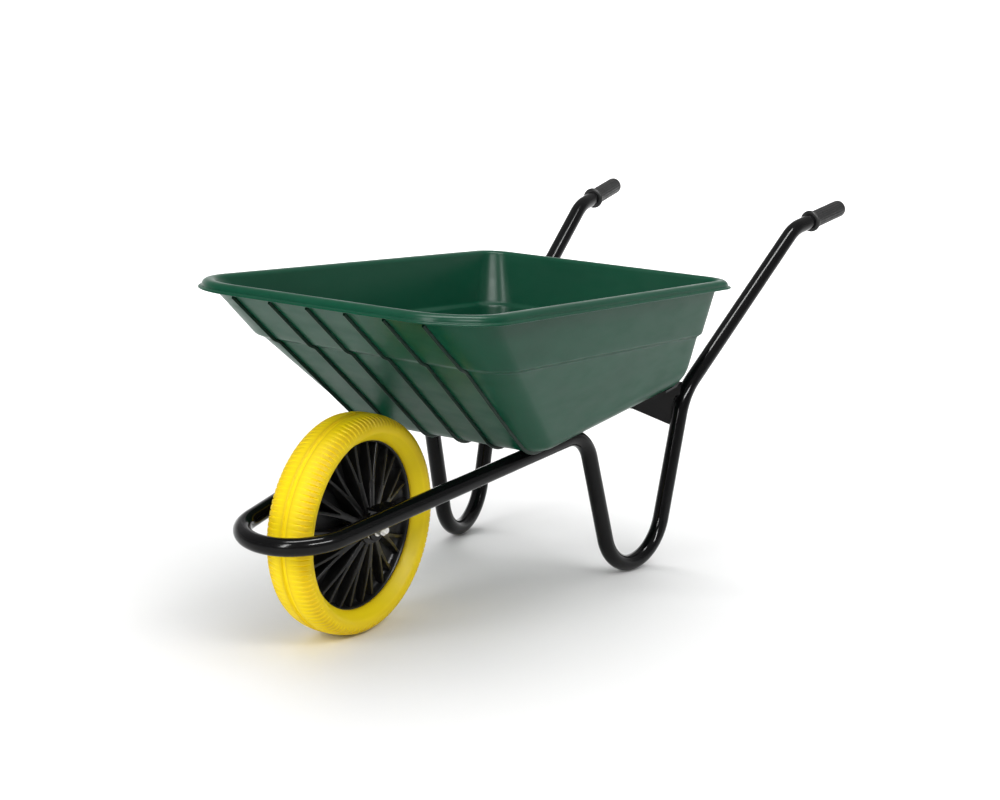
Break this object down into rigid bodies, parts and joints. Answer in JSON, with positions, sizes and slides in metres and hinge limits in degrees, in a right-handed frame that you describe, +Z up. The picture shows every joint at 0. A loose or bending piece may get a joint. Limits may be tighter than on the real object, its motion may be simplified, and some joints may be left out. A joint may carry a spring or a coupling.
{
  "type": "wheelbarrow",
  "caption": "Single-wheel garden wheelbarrow with a moulded tray on a bent tube frame, two leg loops and a solid foam tyre.",
  "frame": {"origin": "on the ground at the middle of the bounding box, under the tray", "axes": "+X forward from the grips to the wheel, +Y to the left, +Z up"},
  "size_m": [1.5062, 0.5682, 0.6281],
  "materials": {
    "black_paint": "gloss",
    "zinc": "satin",
    "bare_steel": "satin",
    "bush_nylon": "matte",
    "rim_plastic": "satin",
    "tyre_foam": "matte",
    "tray_plastic": "satin",
    "grip_rubber": "satin"
  },
  "bodies": {
    "frame": {"main_frame_tube": "black_paint", "rear_cross_member": "black_paint", "front_tray_lugs": "black_paint", "left_axle_bracket": "black_paint", "right_axle_bracket": "black_paint", "axle_bolt": "zinc", "axle_nut": "zinc", "axle_washers": "zinc", "axle_tube": "bare_steel", "thrust_washers": "zinc", "tray": "tray_plastic", "tray_bolts": "zinc", "tray_load_washers": "zinc", "tray_lock_washers": "zinc", "tray_nuts": "zinc", "left_grip": "grip_rubber", "right_grip": "grip_rubber"},
    "wheel": {"wheel_rim": "rim_plastic", "wheel_ribs": "rim_plastic", "tyre": "tyre_foam", "left_wheel_bush": "bush_nylon", "right_wheel_bush": "bush_nylon"}
  },
  "joints": [
    {"name": "wheel_spin", "type": "hinge", "parent": "frame", "child": "wheel", "pos_m": [0.517, 0, 0.1775], "axis": [0, 1, 0], "continuous": true}
  ]
}
